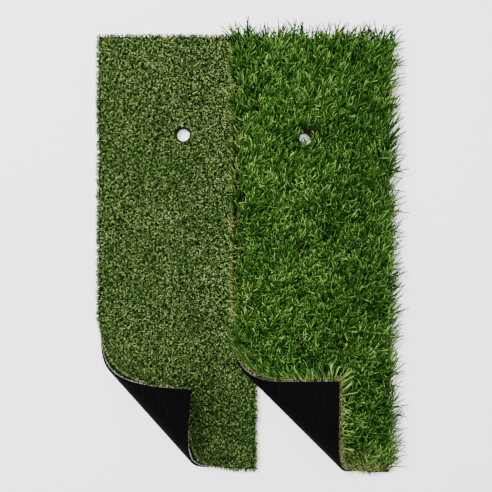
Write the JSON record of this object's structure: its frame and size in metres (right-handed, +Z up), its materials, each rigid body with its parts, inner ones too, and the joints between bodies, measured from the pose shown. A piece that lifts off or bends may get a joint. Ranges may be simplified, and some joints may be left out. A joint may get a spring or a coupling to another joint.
{
  "type": "golf hitting mat",
  "caption": "Artificial turf golf hitting mat: a short-pile strip with a long-pile strip lapped over its margin, near corners folded to show the rubber back.",
  "frame": {"origin": "bottom centre of the box round the mat as it lies on the floor", "axes": "+X across the mat from the short-pile strip to the long-pile strip, +Y from the folded near end to the far end, +Z up"},
  "size_m": [0.4368, 0.65, 0.062],
  "materials": {
    "black_rubber": "matte",
    "latex_adhesive": "matte",
    "woven_backing": "matte",
    "fairway_green_yarn": "matte",
    "rough_green_yarn": "satin",
    "straw_green_yarn": "matte"
  },
  "bodies": {
    "fairway_main": {"fairway_rubber_base": "black_rubber", "fairway_adhesive_coat": "latex_adhesive", "fairway_primary_backing": "woven_backing", "fairway_pile": "fairway_green_yarn"},
    "fairway_bend_1": {"fairway_rubber_base_bend_1": "black_rubber", "fairway_adhesive_coat_bend_1": "latex_adhesive", "fairway_primary_backing_bend_1": "woven_backing", "fairway_pile_bend_1": "fairway_green_yarn"},
    "fairway_bend_2": {"fairway_rubber_base_bend_2": "black_rubber", "fairway_adhesive_coat_bend_2": "latex_adhesive", "fairway_primary_backing_bend_2": "woven_backing", "fairway_pile_bend_2": "fairway_green_yarn"},
    "fairway_bend_3": {"fairway_rubber_base_bend_3": "black_rubber", "fairway_adhesive_coat_bend_3": "latex_adhesive", "fairway_primary_backing_bend_3": "woven_backing", "fairway_pile_bend_3": "fairway_green_yarn"},
    "fairway_corner": {"fairway_rubber_base_corner": "black_rubber", "fairway_adhesive_coat_corner": "latex_adhesive", "fairway_primary_backing_corner": "woven_backing", "fairway_pile_corner": "fairway_green_yarn"},
    "rough_main": {"rough_rubber_base": "black_rubber", "rough_adhesive_coat": "latex_adhesive", "rough_primary_backing": "woven_backing", "rough_thatch": "straw_green_yarn", "rough_pile": "rough_green_yarn"},
    "rough_bend_1": {"rough_rubber_base_bend_1": "black_rubber", "rough_adhesive_coat_bend_1": "latex_adhesive", "rough_primary_backing_bend_1": "woven_backing", "rough_thatch_bend_1": "straw_green_yarn", "rough_pile_bend_1": "rough_green_yarn"},
    "rough_bend_2": {"rough_rubber_base_bend_2": "black_rubber", "rough_adhesive_coat_bend_2": "latex_adhesive", "rough_primary_backing_bend_2": "woven_backing", "rough_thatch_bend_2": "straw_green_yarn", "rough_pile_bend_2": "rough_green_yarn"},
    "rough_bend_3": {"rough_rubber_base_bend_3": "black_rubber", "rough_adhesive_coat_bend_3": "latex_adhesive", "rough_primary_backing_bend_3": "woven_backing", "rough_thatch_bend_3": "straw_green_yarn", "rough_pile_bend_3": "rough_green_yarn"},
    "rough_corner": {"rough_rubber_base_corner": "black_rubber", "rough_adhesive_coat_corner": "latex_adhesive", "rough_primary_backing_corner": "woven_backing", "rough_thatch_corner": "straw_green_yarn", "rough_pile_corner": "rough_green_yarn"}
  },
  "joints": [
    {"name": "fairway_corner_fold", "type": "hinge", "parent": "fairway_main", "child": "fairway_bend_1", "pos_m": [-0.12067, -0.23262, 0], "axis": [0.6665, -0.7455, 0], "range_deg": [0, 51.25]},
    {"name": "fairway_fold_2", "type": "hinge", "parent": "fairway_bend_1", "child": "fairway_bend_2", "pos_m": [-0.13365, -0.24423, 0.0217], "axis": [0.6665, -0.7455, 0], "range_deg": [0, 51.25]},
    {"name": "fairway_fold_3", "type": "hinge", "parent": "fairway_bend_2", "child": "fairway_bend_3", "pos_m": [-0.12916, -0.24022, 0.04886], "axis": [0.6665, -0.7455, 0], "range_deg": [0, 51.25]},
    {"name": "fairway_fold_4", "type": "hinge", "parent": "fairway_bend_3", "child": "fairway_corner", "pos_m": [-0.11056, -0.22359, 0.06116], "axis": [0.6665, -0.7455, 0], "range_deg": [0, 51.25]},
    {"name": "rough_corner_fold", "type": "hinge", "parent": "rough_main", "child": "rough_bend_1", "pos_m": [0.0734, -0.231, 0.00881], "axis": [0.7019, -0.7108, -0.0459], "range_deg": [0, 45]},
    {"name": "rough_fold_2", "type": "hinge", "parent": "rough_bend_1", "child": "rough_bend_2", "pos_m": [0.06397, -0.2413, 0.0241], "axis": [0.7019, -0.7108, -0.0459], "range_deg": [0, 45]},
    {"name": "rough_fold_3", "type": "hinge", "parent": "rough_bend_2", "child": "rough_bend_3", "pos_m": [0.06532, -0.2413, 0.04476], "axis": [0.7019, -0.7108, -0.0459], "range_deg": [0, 45]},
    {"name": "rough_fold_4", "type": "hinge", "parent": "rough_bend_3", "child": "rough_corner", "pos_m": [0.07666, -0.231, 0.0587], "axis": [0.7019, -0.7108, -0.0459], "range_deg": [0, 45]},
    {"name": "rough_lift", "type": "slide", "parent": "fairway_main", "child": "rough_main", "axis": [0, 0, 1], "range_m": [0, 0.12]}
  ],
  "couplings": [
    {"joint": "fairway_fold_2", "follows": "fairway_corner_fold", "ratio": 1},
    {"joint": "fairway_fold_3", "follows": "fairway_corner_fold", "ratio": 1},
    {"joint": "fairway_fold_4", "follows": "fairway_corner_fold", "ratio": 1},
    {"joint": "rough_fold_2", "follows": "rough_corner_fold", "ratio": 1},
    {"joint": "rough_fold_3", "follows": "rough_corner_fold", "ratio": 1},
    {"joint": "rough_fold_4", "follows": "rough_corner_fold", "ratio": 1}
  ]
}
